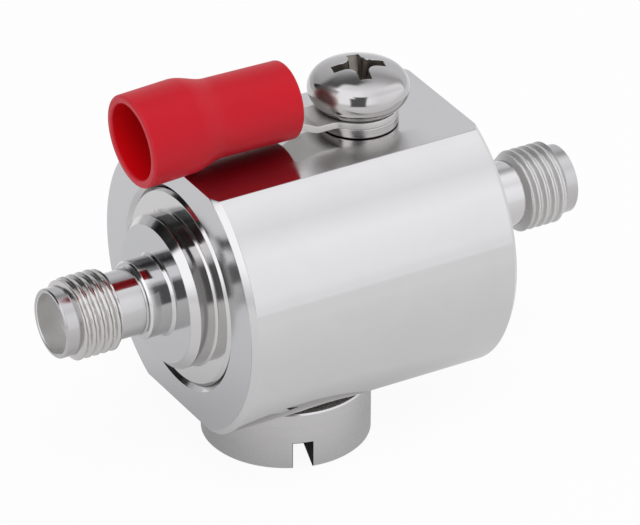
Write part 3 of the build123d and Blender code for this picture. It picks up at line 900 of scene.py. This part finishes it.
def plated(name, colour, dull, roughness, centre, axis, spacing, groove, smear=0.06, specks=0.0, zones=()):
    """Plated metal with turning marks about an axis, faint smears and small tumbling specks.

    Each zone is a mask maker with the roughness and the colour of the faces that it picks.
    """
    finish = Finish(name, colour, 1.0, roughness)
    height, streak = finish.turned_about(centre, axis, spacing)
    handled = finish.add("Group", node_tree=HANDLING)
    finish.feed(handled, "Position", finish.place)
    finish.feed(handled, "Size", SMEAR_SIZE * MM)
    rough = finish.mapped(streak, 0.3, 0.7, roughness * 0.85, roughness * 1.2)
    rough = finish.math("MULTIPLY_ADD", handled.outputs["Smear"], smear, rough)
    tint = finish.tinted(finish.times(handled.outputs["Smear"], SMEAR_TINT), colour, dull)
    for mask, zone_roughness, zone_colour in zones:
        inside = mask(finish)
        rough = finish.math("MULTIPLY_ADD", inside, zone_roughness - roughness, rough)
        tint = finish.tinted(inside, tint, zone_colour)
    finish.set("Roughness", rough)
    finish.set("Base Color", tint)
    finish.bumped(finish.math("MULTIPLY_ADD", handled.outputs["Speck"], specks, height), groove)
    return finish


def soften_in_mirrors(finish, roughness):
    """Rougher low part of the bar's ends wherever the connector mirrors it, and painted shade: the
    counterbore's groove is painted near black there.
    """
    again = finish.passed(1)
    level = finish.vector("DOT_PRODUCT", finish.place, UPRIGHT)
    high = finish.mapped(level, (LINE_HEIGHT + SOFT_UP_TO) * MM, (LINE_HEIGHT + SHARP_FROM) * MM)
    held = finish.times(again, finish.mapped(high, 0.0, 1.0, roughness, 0.0, "LINEAR"))
    finish.set("Roughness", finish.math("MAXIMUM", finish.now("Roughness"), held))
    # Painted shade: in mirrored views the counterbore's groove is painted near black, less so low down.
    groove = finish.between(finish.out, COUNTERBORE_RADIUS - 0.1, COUNTERBORE_RADIUS + COUNTERBORE_CHAMFER)
    dull = finish.times(again, groove, finish.mapped(high, 0.0, 1.0, LOW_GROOVE_SHADE, 1.0, "LINEAR"))
    finish.set("Base Color", finish.tinted(dull, finish.now("Base Color"), PAINTED_SHADE))


def painted_light_below(finish, value):
    """Painted light: a glow on the lug's underside, seen only in mirrors, that stands in for the light the
    bright flat throws on it as the flat mirrors it.
    """
    down = finish.vector("DOT_PRODUCT", finish.add("NewGeometry").outputs["Normal"], (0, 0, -1))
    tongue = finish.mapped(finish.out, RING_EDGE * MM, TONGUE_FOOT * MM)
    below = finish.times(finish.passed(1), finish.mapped(down, 0.3, 0.7), tongue)
    finish.set("Emission Color", finish.tinted(below, (0, 0, 0), (value,) * 3))
    finish.set("Emission Strength", 1.0)


def moulded(name, colour, roughness, grain, depth, subsurface=0.0, patch=0.0):
    """Moulded or fired material: fine grain in its surface and slow changes of tone."""
    finish = Finish(name, colour, 0.0, roughness)
    fine = finish.noise(finish.place, 1 / (grain * MM), 4.0)
    tone = finish.mapped(finish.noise(finish.place, 260.0, 3.0), 0.3, 0.7, 1.0 - patch, 1.0)
    finish.set("Base Color", finish.scaled(colour, tone))
    finish.set("Roughness", finish.mapped(fine, 0.3, 0.7, roughness - 0.05, roughness + 0.06))
    finish.bumped(fine, depth)
    if subsurface:
        finish.set("Subsurface Weight", subsurface)
        finish.set("Subsurface Radius", (1.0, 0.25, 0.2))
        finish.set("Subsurface Scale", 0.0006)
    return finish


def red_vinyl():
    """Soft vinyl of the sleeve: a brighter, purer red painted inside the mouth as painted light, and a paler
    lip as a painted highlight.

    Where metal mirrors metal that mirrors the sleeve, the sleeve is painted nearly black, a painted shade
    for its shaded underside.
    """
    finish = moulded("red_vinyl", VINYL, 0.46, 0.12, 0.0012, subsurface=0.08, patch=0.05)
    finish.set("Specular IOR Level", 0.33)
    tilt = SLEEVE_TILT - SLEEVE_DROOP
    centre = (SLEEVE_REAR_X - SLEEVE_BEND * math.cos(SLEEVE_TILT), 0,
              SLEEVE_AXIS_LEVEL + SLEEVE_BEND * math.sin(SLEEVE_TILT))
    finish.turned_about(centre, (-math.cos(tilt), 0, math.sin(tilt)), 0.1)
    mouth = SLEEVE_LENGTH - SLEEVE_BEND
    inside = finish.times(finish.between(finish.out, -1, SLEEVE_MOUTH_RADIUS + 0.12, soft=0.1),
                          finish.between(finish.along, -1.6, mouth - 0.1, soft=0.3))
    base = finish.tinted(inside, finish.now("Base Color"), VINYL_INSIDE)
    lip = finish.between(finish.along, mouth - 0.12, mouth + 1, soft=0.14)
    base = finish.tinted(finish.times(lip, 0.7), base, VINYL_LIP)
    finish.set("Base Color", finish.tinted(finish.passed(2), base, VINYL_SHADED))
    return finish


# Axes, colours of the finishes, and the places that their masks pick
ALONG_LINE = (1, 0, 0)
UPRIGHT = (0, 0, 1)
LINE_CENTRE = (0, 0, LINE_HEIGHT)
CAP_CENTRE = (CAP_X, 0, 0)
SCREW_CENTRE = (SCREW_X, 0, 0)
NICKEL = (0.61, 0.60, 0.59)
DULL_NICKEL = (0.585, 0.575, 0.56)
END_NICKEL = (0.555, 0.555, 0.56)
# Painted light: a paler nickel that brightens the connectors' bores.
BORE_PAINTED_LIGHT = (0.79, 0.78, 0.77)
# Painted shade: near black painted into the bar's mirrored grooves and onto the washer's foot on the flat.
PAINTED_SHADE = (0.03, 0.027, 0.025)
SMEAR_SIZE = 4.0
SMEAR_TINT = 0.35
VINYL = (0.575, 0.0010, 0.0125)
# Painted light: a brighter red inside the mouth and a paler painted highlight on the lip. Painted shade:
# near black for the sleeve seen in double mirrors.
VINYL_INSIDE = (0.70, 0.0, 0.004)
VINYL_LIP = (0.60, 0.018, 0.034)
VINYL_SHADED = (0.03, 0.002, 0.003)
MASK_MARGIN = 0.03
SCUFF_MIDDLE = (SCREW_X - 3.6, -1.1, SCREW_SEAT + 1.7)
SCUFF_REACH = 1.1
WORN_ALONG = (SCREW_X - 6.5, SCREW_X + 2.0)
WORN_ENDS_SOFT = 2.5
WORN_ACROSS = (-BAR_RADIUS, -3.6)
WORN_SIDES_SOFT = 0.9

# Heights over the coaxial line between which a mirrored end of the bar turns from soft to sharp
SOFT_UP_TO = 5.4
SHARP_FROM = 6.6
# Share of the painted shade that a mirrored groove keeps low down
LOW_GROOVE_SHADE = 0.35

# Distances from the ground screw between which the lug's mirrored underside glows with painted light
RING_EDGE = 3.1
TONGUE_FOOT = 4.3

bright_nickel = plated(
    "bright_nickel", NICKEL, DULL_NICKEL, 0.085, LINE_CENTRE, ALONG_LINE, 0.09, 0.00006, smear=0.015, zones=[
        (face_zone(BAR_END - 0.01, BAR_END + 1), 0.14, END_NICKEL),
        (face_zone(-BAR_END - 1, -BAR_END + 0.01), 0.14, END_NICKEL),
        (worn_zone, 0.3, NICKEL)])
soften_in_mirrors(bright_nickel, 0.45)
# Painted light and shade: besides their roughness, these faces carry lighter and darker copies of the
# nickel. It is lighter on the left collar, the right thread and the bores. It is darker on the left boss
# face, neck, thread and pilot, and on the right pilot.
connector_nickel = plated(
    "connector_nickel", NICKEL, DULL_NICKEL, 0.1, LINE_CENTRE, ALONG_LINE, 0.07, 0.00012, smear=0.04, zones=[
        (face_zone(-BOSS_FACE - MASK_MARGIN, -BOSS_FACE + MASK_MARGIN, COLLAR_RADIUS + COVE), 0.12,
         (0.53, 0.53, 0.535)),
        (face_zone(-COLLAR_END, -BOSS_FACE - COVE), 0.1, (0.68, 0.67, 0.66)),
        (face_zone(-NECK_END, -COLLAR_END), 0.1, (0.52, 0.51, 0.505)),
        (face_zone(-THREAD_END, -NECK_END), 0.2, (0.575, 0.56, 0.54)),
        (face_zone(NECK_END, THREAD_END), 0.45, (0.66, 0.65, 0.635)),
        (face_zone(THREAD_END, MOUTH), 0.2, (0.50, 0.49, 0.48)),
        (face_zone(-MOUTH, -THREAD_END, SOCKET_RADIUS + 0.04), 0.12, (0.475, 0.465, 0.46)),
        (face_zone(-MOUTH - 1, -REFERENCE_PLANE, -1, SOCKET_RADIUS + MASK_MARGIN), 0.4, BORE_PAINTED_LIGHT),
        (face_zone(REFERENCE_PLANE, MOUTH + 1, -1, SOCKET_RADIUS + MASK_MARGIN), 0.4, BORE_PAINTED_LIGHT)])
# Painted light and shade on the cap: a paler painted highlight on the upper rim edge, and the slot painted
# near black as painted shade.
cap_nickel = plated(
    "cap_satin_nickel", (0.58, 0.57, 0.56), (0.55, 0.54, 0.52), 0.27, CAP_CENTRE, UPRIGHT, 0.12, 0.0001,
    smear=0.03, zones=[
        (face_zone(FLAT_BOTTOM - CAP_EDGE - 0.01, FLAT_BOTTOM - 0.01, CAP_RADIUS - 0.2), 0.2,
         (0.62, 0.61, 0.60)),
        (slot_zone, 0.85, (0.018, 0.018, 0.018))])
# Painted shade on the screw: the undercut under the head is painted near black, and the recess walls a
# darker brown-grey.
screw_zinc = plated(
    "screw_plating", (0.50, 0.487, 0.475), (0.43, 0.415, 0.40), 0.09, SCREW_CENTRE, UPRIGHT, 0.16, 0.0003,
    specks=1.5, zones=[
        (scuffed_zone, 0.3, (0.47, 0.44, 0.42)),
        (face_zone(SCREW_SEAT - 0.1, SCREW_SEAT + 0.3), 0.4, (0.06, 0.055, 0.05)),
        (recess_zone, 0.4, (0.25, 0.225, 0.20))])
# Painted shade: the washer's foot, where it stands on the flat, is painted near black.
washer_zinc = plated(
    "washer_plating", (0.57, 0.555, 0.54), (0.50, 0.48, 0.46), 0.25, SCREW_CENTRE, UPRIGHT, 0.1, 0.0005,
    smear=0.1, zones=[(face_zone(FLAT_TOP - 0.1, FLAT_TOP + 0.1), 0.4, PAINTED_SHADE)])
# Painted shade: the barrel and the tongue's end inside the sleeve are painted a dark reddish tone.
tinned = plated(
    "tinned_copper", (0.72, 0.71, 0.69), (0.64, 0.63, 0.60), 0.42, SCREW_CENTRE, UPRIGHT, 0.3, 0.0006,
    smear=0.08, specks=1.0, zones=[
        (face_zone(FLAT_TOP - 1, FLAT_TOP + 20, SCREW_X - SLEEVE_REAR_X + 0.4), 0.4, (0.25, 0.12, 0.11))])
tinned.set("Metallic", 0.6)
painted_light_below(tinned, 0.3)
gilt = plated("gilt_contact", (0.84, 0.76, 0.60), (0.76, 0.68, 0.50), 0.3,
              LINE_CENTRE, ALONG_LINE, 0.06, 0.0002)
electrode_metal = plated("electrode_metal", (0.66, 0.65, 0.64), (0.56, 0.55, 0.53), 0.3,
                         CAP_CENTRE, UPRIGHT, 0.08, 0.0003)
spring_metal = plated("spring_wire", (0.74, 0.70, 0.62), (0.62, 0.58, 0.5), 0.25,
                      CAP_CENTRE, UPRIGHT, 0.05, 0.0002)
fluoropolymer = moulded("white_fluoropolymer", (0.86, 0.86, 0.84), 0.5, 0.1, 0.002,
                        subsurface=0.15, patch=0.03)
glazed = moulded("glazed_ceramic", (0.82, 0.80, 0.76), 0.22, 0.2, 0.001, patch=0.04)
rubber = moulded("seal_rubber", (0.02, 0.02, 0.021), 0.6, 0.08, 0.003, patch=0.1)


def place_piece(piece, finish, body, node):
    """Finish a piece: its material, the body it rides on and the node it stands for."""
    piece.data.materials.clear()
    piece.data.materials.append(finish.material)
    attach(piece, body)
    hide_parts(node)


place_piece(bar_housing(), bright_nickel, "housing", "body")
for end, sign in (("left", -1), ("right", 1)):
    place_piece(connector(end + "_connector", sign), connector_nickel, "housing",
                end + "_connector_shell")
place_piece(tube_cap(), cap_nickel, "tube_cap", "gas_tube_cap")
place_piece(pan_head_screw(), screw_zinc, "screw", "ground_screw")
place_piece(split_washer(), washer_zinc, "washer", "lock_washer")
place_piece(ring_lug(), tinned, "lug", "ring_terminal")
place_piece(red_sleeve(), red_vinyl(), "lug", "terminal_sleeve")

CARRIED_OVER = {
    "centre_conductor": gilt, "left_socket_contact": gilt, "right_socket_contact": gilt,
    "left_dielectric": fluoropolymer, "right_dielectric": fluoropolymer, "gas_tube_ceramic": glazed,
    "gas_tube_upper_electrode": electrode_metal, "gas_tube_lower_electrode": electrode_metal,
    "contact_spring": spring_metal, "cap_seal": rubber,
}
for node_name, finish in CARRIED_OVER.items():
    node_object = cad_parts[node_name]
    if not node_object.material_slots:
        node_object.data.materials.append(finish.material)
    for material_slot in node_object.material_slots:
        material_slot.material = finish.material


# Camera, in the view of the photograph, and the axes of its picture before the roll
VIEW_AZIMUTH = math.radians(-30.32)
VIEW_ELEVATION = math.radians(30.13)
VIEW_ROLL = math.radians(0.247)
VIEW_DISTANCE = 501.9
VIEW_SHIFT_RIGHT = 0.716
VIEW_SHIFT_UP = -0.997
FOCAL_LENGTH = 372.9
SENSOR_WIDTH = 36.0
VIEW_RIGHT = (math.cos(VIEW_AZIMUTH), math.sin(VIEW_AZIMUTH), 0)
VIEW_BACK = (math.sin(VIEW_AZIMUTH) * math.cos(VIEW_ELEVATION),
             -math.cos(VIEW_AZIMUTH) * math.cos(VIEW_ELEVATION), math.sin(VIEW_ELEVATION))
VIEW_UP = tuple(np.cross(VIEW_BACK, VIEW_RIGHT))

# Studio
FLOOR_RADIUS = 250.0
FLOOR_LEVEL = -0.01
FLOOR_GREY = (0.92, 0.92, 0.92)
FLOOR_GLOW = 0.85
FLOOR_WHITE = 0.93
WHITE = (1, 1, 1, 1)
SHADE_MIDDLE = (-2.0 * MM, 3.0 * MM, 0)
SHADE_STRETCH = 1.6
SHADE_REACH = 80.0
BRIGHTEST = 1.6
BEHIND_TONE = 0.68
BAND_TONE = 0.14
CAMERA_PATCH_TONE = 0.15


def studio_floor():
    """Round table top: a disc of rings that reaches well past the picture.

    What the metal mirrors of it glows, with a painted shadow that darkens it under the bar by the distance
    from a point there.
    """
    rings = np.linspace(0, 1, 12)[:, None] * FLOOR_RADIUS
    floor = mesh_piece("studio_floor", turned_z(rings, FLOOR_LEVEL, round_angles(96), 0))
    finish = Finish("studio_table", FLOOR_GREY, 0.0, 0.9)
    finish.set("Specular IOR Level", 0.0)
    from_middle = finish.vector("MULTIPLY", finish.vector("SUBTRACT", finish.place, SHADE_MIDDLE),
                                (1 / SHADE_STRETCH, 1, 0))
    reach = finish.math("DIVIDE", finish.vector("LENGTH", from_middle), SHADE_REACH * MM, clamp=True)
    tone = finish.tone_ramp(reach, [(0.06, 0.46), (0.10, 0.58), (0.145, 0.72), (0.18, 0.83), (0.25, 0.88),
                                    (0.47, 0.95), (0.95, 1.03)], BRIGHTEST)
    plain = finish.shader.outputs[0]
    glow = finish.shone("Emission", (0.985, 0.985, 1.01, 1), tone)
    final = finish.by_ray(plain, finish.either(FLOOR_GLOW, plain, glow),
                          finish.either(FLOOR_WHITE, plain, finish.shone("Emission", WHITE)))
    finish.feed(finish.tree.nodes["Material Output"], "Surface", final)
    floor.data.materials.append(finish.material)


def studio_world():
    """Surroundings that the metal mirrors.

    The turn about the coaxial line is atan2(up, towards the front): 0 is the front horizon, a
    quarter of a turn is overhead and a half is the back horizon. To the right the tone follows
    that turn. To the left there is a bright wall in front and a dark card behind it, and a dark
    patch stands where the camera does.
    """
    world = bpy.data.worlds.new("studio")
    bpy.context.scene.world = world
    world.use_nodes = True
    world.node_tree.nodes.clear()
    sky = Nodes(world.node_tree)
    direction = sky.add("TexCoord").outputs["Generated"]
    x, y, z = sky.add("SeparateXYZ", [(0, direction)]).outputs
    turn = sky.math("ARCTAN2", sky.math("MAXIMUM", z, 0.001), sky.times(y, -1.0))
    turn = sky.math("DIVIDE", turn, math.pi, clamp=True)
    right = sky.tone_ramp(turn, [
        (0.0, 1.12), (0.033, 1.2), (0.12, 1.25), (0.21, 1.31), (0.26, 1.24), (0.32, 1.13), (0.39, 1.23),
        (0.45, 1.30), (0.53, 1.25), (0.59, 0.76), (0.655, 0.52), (0.72, 0.77), (0.80, 0.88), (0.90, 0.82),
        (1.0, 0.84)], BRIGHTEST)
    inward = sky.mapped(x, -0.42, -0.37)
    wall = sky.mapped(z, -0.06, 0.3, 0.92, 1.5)
    edge = sky.times(inward, sky.mapped(x, -0.05, 0.16, 0.26, 0.08))
    behind = sky.mapped(sky.math("SUBTRACT", y, edge), 0.13, 0.25)
    low = sky.blend(behind, wall, BEHIND_TONE)
    faded = sky.times(inward, sky.mapped(y, 0.64, 0.78, 0.0, 0.8))
    card = sky.times(behind, sky.mapped(z, 0.14, 0.22), sky.math("SUBTRACT", 1.0, faded))
    streaks = sky.noise(sky.vector("MULTIPLY", direction, (2.0, 2.0, 14.0)), 1.0)
    dark = sky.times(sky.mapped(x, -0.66, -0.5, 0.26, 0.05), sky.mapped(streaks, 0.42, 0.66, 0.1, 1.0))
    tone = sky.blend(sky.mapped(x, -0.28, 0.42, 1.0, 0.0), right, sky.blend(card, low, dark))
    start = sky.times(inward, sky.mapped(x, -0.05, 0.16, 0.085, 0.027))
    band = sky.times(sky.mapped(sky.math("SUBTRACT", turn, start), 0.55, 0.575),
                     sky.mapped(turn, 0.62, 0.76, 1.0, 0.0), sky.mapped(x, 0.2, 0.46, 1.0, 0.0),
                     sky.mapped(x, -0.7, -0.5))
    tone = sky.blend(band, tone, BAND_TONE)
    aside = sky.math("ABSOLUTE", sky.vector("DOT_PRODUCT", direction, VIEW_RIGHT))
    height = sky.vector("DOT_PRODUCT", direction, VIEW_UP)
    top = sky.math("MULTIPLY_ADD", sky.mapped(x, -0.43, -0.41), -0.17, height)
    patch = sky.times(sky.mapped(aside, 0.24, 0.32, 1.0, 0.0), sky.mapped(height, -0.56, -0.48),
                      sky.mapped(top, 0.24, 0.34, 1.0, 0.0),
                      sky.mapped(sky.vector("DOT_PRODUCT", direction, VIEW_BACK), 0.1, 0.3))
    tone = sky.blend(patch, tone, CAMERA_PATCH_TONE)
    final = sky.by_ray(sky.shone("Background", (0.55, 0.55, 0.56, 1)),
                       sky.shone("Background", sky.scaled((0.985, 0.99, 1.035), tone)),
                       sky.shone("Background", WHITE))
    sky.add("OutputWorld", [("Surface", final)])


def stood_at(name, data, place, right, up, back):
    """Object of the studio at a place in metres, with three unit axes as its own."""
    holder = bpy.data.objects.new(name, data)
    matrix = np.eye(4)
    matrix[:3, :4] = np.stack([right, up, back, place], axis=1)
    holder.matrix_world = Matrix(matrix.tolist())
    bpy.context.scene.collection.objects.link(holder)
    return holder


def studio_lamp(name, place, size, power):
    """Square soft lamp aimed at the middle of the bar, unseen in the metal."""
    lamp = bpy.data.lights.new(name, "AREA")
    lamp.shape = "SQUARE"
    lamp.size = size
    lamp.energy = power
    back = np.array(place) - (0, 0, LINE_HEIGHT * MM)
    back /= np.linalg.norm(back)
    right = np.cross(UPRIGHT, back)
    right /= np.linalg.norm(right)
    stood_at(name, lamp, place, right, np.cross(back, right), back).visible_glossy = False


def photo_camera():
    """Long lens that looks down on the left front; the roll turns it a little about its own axis."""
    level, upright, back = [np.array(axis) for axis in (VIEW_RIGHT, VIEW_UP, VIEW_BACK)]
    right = math.cos(VIEW_ROLL) * level + math.sin(VIEW_ROLL) * upright
    up = math.cos(VIEW_ROLL) * upright - math.sin(VIEW_ROLL) * level
    place = back * VIEW_DISTANCE + right * VIEW_SHIFT_RIGHT + up * VIEW_SHIFT_UP + LINE_CENTRE
    lens = bpy.data.cameras.new("photo_view")
    lens.lens = FOCAL_LENGTH
    lens.sensor_width = SENSOR_WIDTH
    lens.sensor_fit = "HORIZONTAL"
    lens.clip_start = 0.02
    lens.clip_end = 20
    bpy.context.scene.camera = stood_at("photo_view", lens, place * MM, right, up, back)


studio_floor()
studio_world()
studio_lamp("key_lamp", (-0.22, -0.30, 0.55), 0.45, 1.6)
studio_lamp("fill_lamp", (0.45, -0.10, 0.40), 0.35, 0.5)
photo_camera()
bpy.context.scene.view_settings.view_transform = "Standard"
